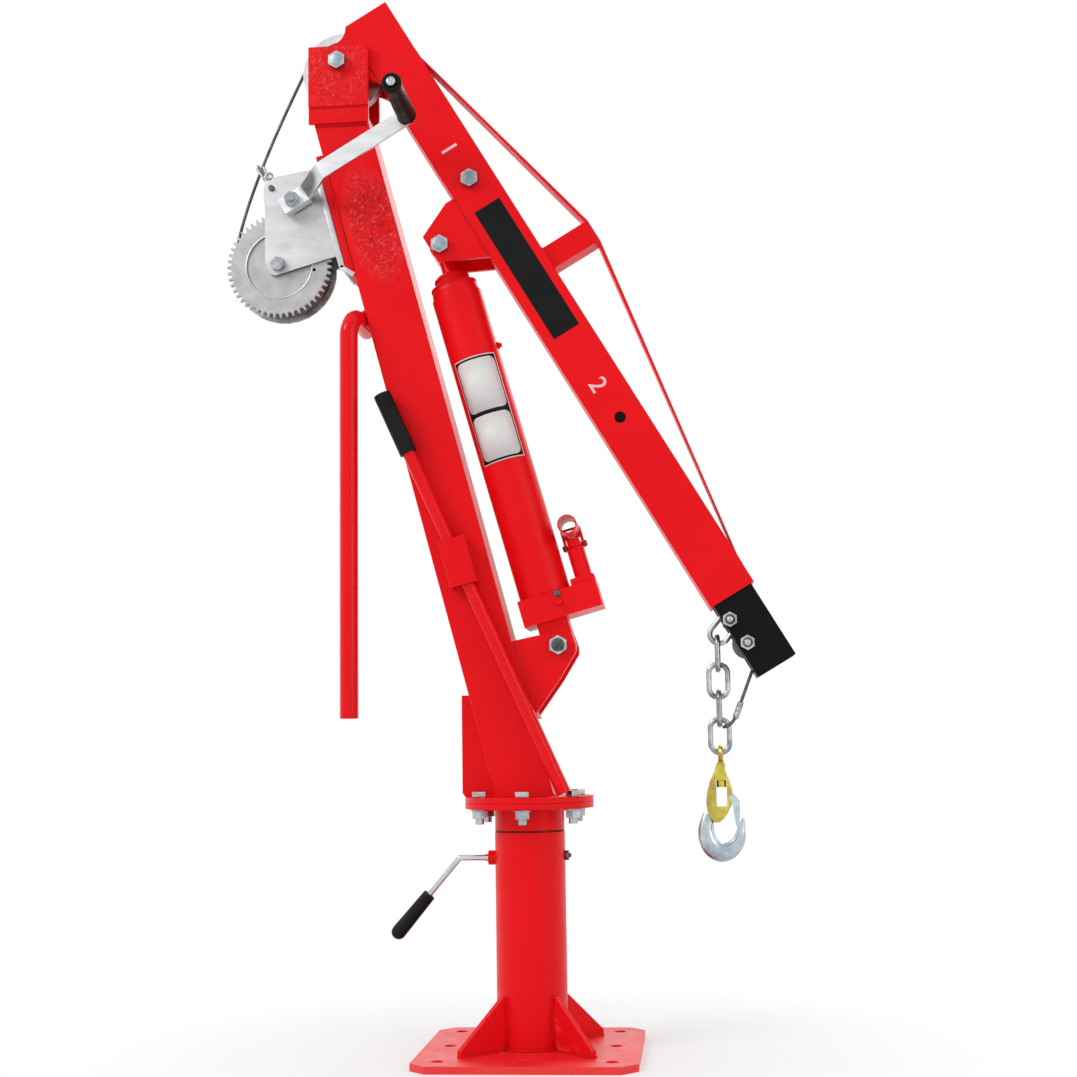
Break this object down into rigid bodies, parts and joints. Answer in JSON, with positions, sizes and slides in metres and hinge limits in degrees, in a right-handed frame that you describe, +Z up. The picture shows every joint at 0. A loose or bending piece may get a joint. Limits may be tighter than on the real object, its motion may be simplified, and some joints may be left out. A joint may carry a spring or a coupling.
{
  "type": "hydraulic swivel crane",
  "caption": "Floor-mounted swivel crane: leaning mast on a bolted base, telescopic boom lifted by a hand-pumped long-ram jack, hand winch, chain and safety hook.",
  "frame": {"origin": "centre of the underside of the base plate, where it is bolted down", "axes": "+Z up the post; +X towards the boom and the hook; +Y away from the side that carries the crank and the stored pump handle"},
  "size_m": [0.8071, 0.3666, 1.5194],
  "materials": {
    "red_paint": "gloss red enamel over a lightly textured ground",
    "black_paint": "gloss black enamel",
    "zinc": "bright zinc plate",
    "dark_steel": "dull plated steel",
    "chrome": "polished chrome",
    "black_rubber": "satin black rubber",
    "yellow_zinc": "yellow passivated zinc plate",
    "rope_steel": "galvanised wire rope",
    "bronze": "oiled bronze"
  },
  "bodies": {
    "base": {"base_plate": "red_paint", "post": "red_paint", "post_bush": "bronze"},
    "lock_arm": {"lock_lever": "chrome", "lock_grip": "black_rubber"},
    "mast": {"spindle": "red_paint", "mast_flange": "red_paint", "flange_bolt_1": "zinc", "flange_bolt_2": "zinc", "flange_bolt_3": "zinc", "flange_bolt_4": "zinc", "flange_bolt_5": "zinc", "flange_bolt_6": "zinc", "mast_tube": "red_paint", "head_bracket": "red_paint", "jack_bracket": "red_paint", "push_handle": "red_paint", "boom_pivot_bolt": "zinc", "jack_lower_bolt": "zinc", "handle_clip": "red_paint", "winch_mount": "red_paint", "winch_frame": "zinc", "drum_bolt": "zinc", "rope_run": "rope_steel"},
    "stored_handle": {"pump_handle": "red_paint", "pump_grip": "black_rubber"},
    "drum": {"winch_drum": "zinc", "drum_gear": "zinc", "rope_winding": "rope_steel"},
    "pinion": {"pinion_shaft": "zinc", "crank_arm": "zinc"},
    "grip": {"crank_grip": "black_rubber"},
    "pawl": {"winch_pawl": "dark_steel"},
    "sheave": {"head_sheave": "dark_steel"},
    "boom": {"boom_tube": "red_paint", "jack_upper_bolt": "zinc", "jack_upper_nut": "zinc", "truss": "red_paint", "boom_lock_bolt": "zinc"},
    "extension": {"boom_extension": "black_paint", "chain_bolt": "zinc", "tip_bolt": "zinc", "rope_boom": "rope_steel"},
    "pulley": {"tip_pulley": "dark_steel"},
    "link_a": {"chain_link_1": "zinc"},
    "link_b": {"chain_link_2": "zinc"},
    "chain_low": {"chain_link_3": "zinc", "chain_link_4": "zinc", "chain_link_5": "zinc", "hook_eye": "yellow_zinc", "rope_tail": "rope_steel"},
    "hook_swung": {"hook_body": "yellow_zinc", "hook": "zinc"},
    "latch": {"hook_latch": "zinc"},
    "jack_body": {"jack_cylinder": "red_paint", "jack_base": "red_paint"},
    "ram": {"jack_ram": "chrome"},
    "piston": {"pump_piston": "red_paint"},
    "socket": {"handle_socket": "red_paint"},
    "screw": {"release_screw": "red_paint"}
  },
  "joints": [
    {"name": "mast_swivel", "type": "hinge", "parent": "base", "child": "mast", "pos_m": [0, 0, 0.3013], "axis": [0, 0, 1], "continuous": true},
    {"name": "lock_lever_turn", "type": "hinge", "parent": "base", "child": "lock_arm", "pos_m": [-0.0585, 0, 0.2657], "axis": [-1, 0, 0], "range_deg": [-120, 120]},
    {"name": "handle_lift", "type": "slide", "parent": "mast", "child": "stored_handle", "axis": [-0.4051, 0, 0.9143], "range_m": [0, 0.04]},
    {"name": "drum_spin", "type": "hinge", "parent": "mast", "child": "drum", "pos_m": [-0.35372, 0, 1.12418], "axis": [0, 1, 0], "continuous": true},
    {"name": "pinion_spin", "type": "hinge", "parent": "mast", "child": "pinion", "pos_m": [-0.32803, 0, 1.21375], "axis": [0, 1, 0], "continuous": true},
    {"name": "crank_grip_spin", "type": "hinge", "parent": "pinion", "child": "grip", "pos_m": [-0.15262, 0, 1.3179], "axis": [0, 1, 0], "continuous": true},
    {"name": "pawl_rock", "type": "hinge", "parent": "mast", "child": "pawl", "pos_m": [-0.36455, 0, 1.24034], "axis": [0, 1, 0], "range_deg": [-12, 12]},
    {"name": "head_sheave_spin", "type": "hinge", "parent": "mast", "child": "sheave", "pos_m": [-0.263, 0, 1.424], "axis": [0, 1, 0], "continuous": true},
    {"name": "boom_lift", "type": "hinge", "parent": "mast", "child": "boom", "pos_m": [-0.263, 0, 1.424], "axis": [0, -1, 0], "range_deg": [0, 90], "deforming": ["rope_run", "rope_tail"]},
    {"name": "boom_extend", "type": "slide", "parent": "boom", "child": "extension", "axis": [0.506, 0, -0.8625], "range_m": [0, 0.417]},
    {"name": "tip_pulley_spin", "type": "hinge", "parent": "extension", "child": "pulley", "pos_m": [0.30977, 0, 0.55682], "axis": [0, 1, 0], "continuous": true},
    {"name": "link_swing", "type": "hinge", "parent": "extension", "child": "link_a", "pos_m": [0.28645, 0, 0.58925], "axis": [0, -1, 0], "range_deg": [-46, 0]},
    {"name": "chain_swing", "type": "hinge", "parent": "link_a", "child": "link_b", "pos_m": [0.26844, 0, 0.56782], "axis": [0, -1, 0], "range_deg": [-46, 0]},
    {"name": "chain_sway", "type": "hinge", "parent": "link_b", "child": "chain_low", "pos_m": [0.26844, 0, 0.52952], "axis": [1, 0, 0], "range_deg": [-25, 25]},
    {"name": "hook_swivel", "type": "hinge", "parent": "chain_low", "child": "hook_swung", "pos_m": [0.26844, 0, 0.38], "axis": [0, 0, 1], "continuous": true},
    {"name": "latch_swing", "type": "hinge", "parent": "hook_swung", "child": "latch", "pos_m": [0.28194, 0, 0.3429], "axis": [0, 1, 0], "range_deg": [0, 35], "stiffness_Nm_per_rad": 0.05, "springref_deg": -17.19},
    {"name": "jack_swing", "type": "hinge", "parent": "mast", "child": "jack_body", "pos_m": [0.0476, 0, 0.5587], "axis": [0, -1, 0], "range_deg": [-14, 0]},
    {"name": "jack_ram_slide", "type": "slide", "parent": "jack_body", "child": "ram", "axis": [-0.2679, 0, 0.9635], "range_m": [0, 0.41]},
    {"name": "socket_tilt", "type": "hinge", "parent": "jack_body", "child": "socket", "pos_m": [0.06951, 0.018, 0.70388], "axis": [-0.9635, 0, -0.2679], "range_deg": [0, 45]},
    {"name": "piston_slide", "type": "slide", "parent": "jack_body", "child": "piston", "axis": [-0.2679, 0, 0.9635], "range_m": [0, 0.008]},
    {"name": "release_turn", "type": "hinge", "parent": "jack_body", "child": "screw", "pos_m": [0.04998, -0.045, 0.61956], "axis": [0, -1, 0], "range_deg": [0, 270]}
  ],
  "couplings": [
    {"joint": "pinion_spin", "follows": "drum_spin", "ratio": -4.25},
    {"joint": "head_sheave_spin", "follows": "drum_spin", "ratio": 1.1826},
    {"joint": "tip_pulley_spin", "follows": "drum_spin", "ratio": 3.5417},
    {"joint": "jack_swing", "follows": "boom_lift", "ratio": -0.1545},
    {"joint": "jack_ram_slide", "follows": "boom_lift", "m_per_rad": 0.2599},
    {"joint": "link_swing", "follows": "boom_lift", "ratio": -0.5},
    {"joint": "chain_swing", "follows": "boom_lift", "ratio": -0.5},
    {"joint": "piston_slide", "follows": "socket_tilt", "m_per_rad": 0.01}
  ]
}
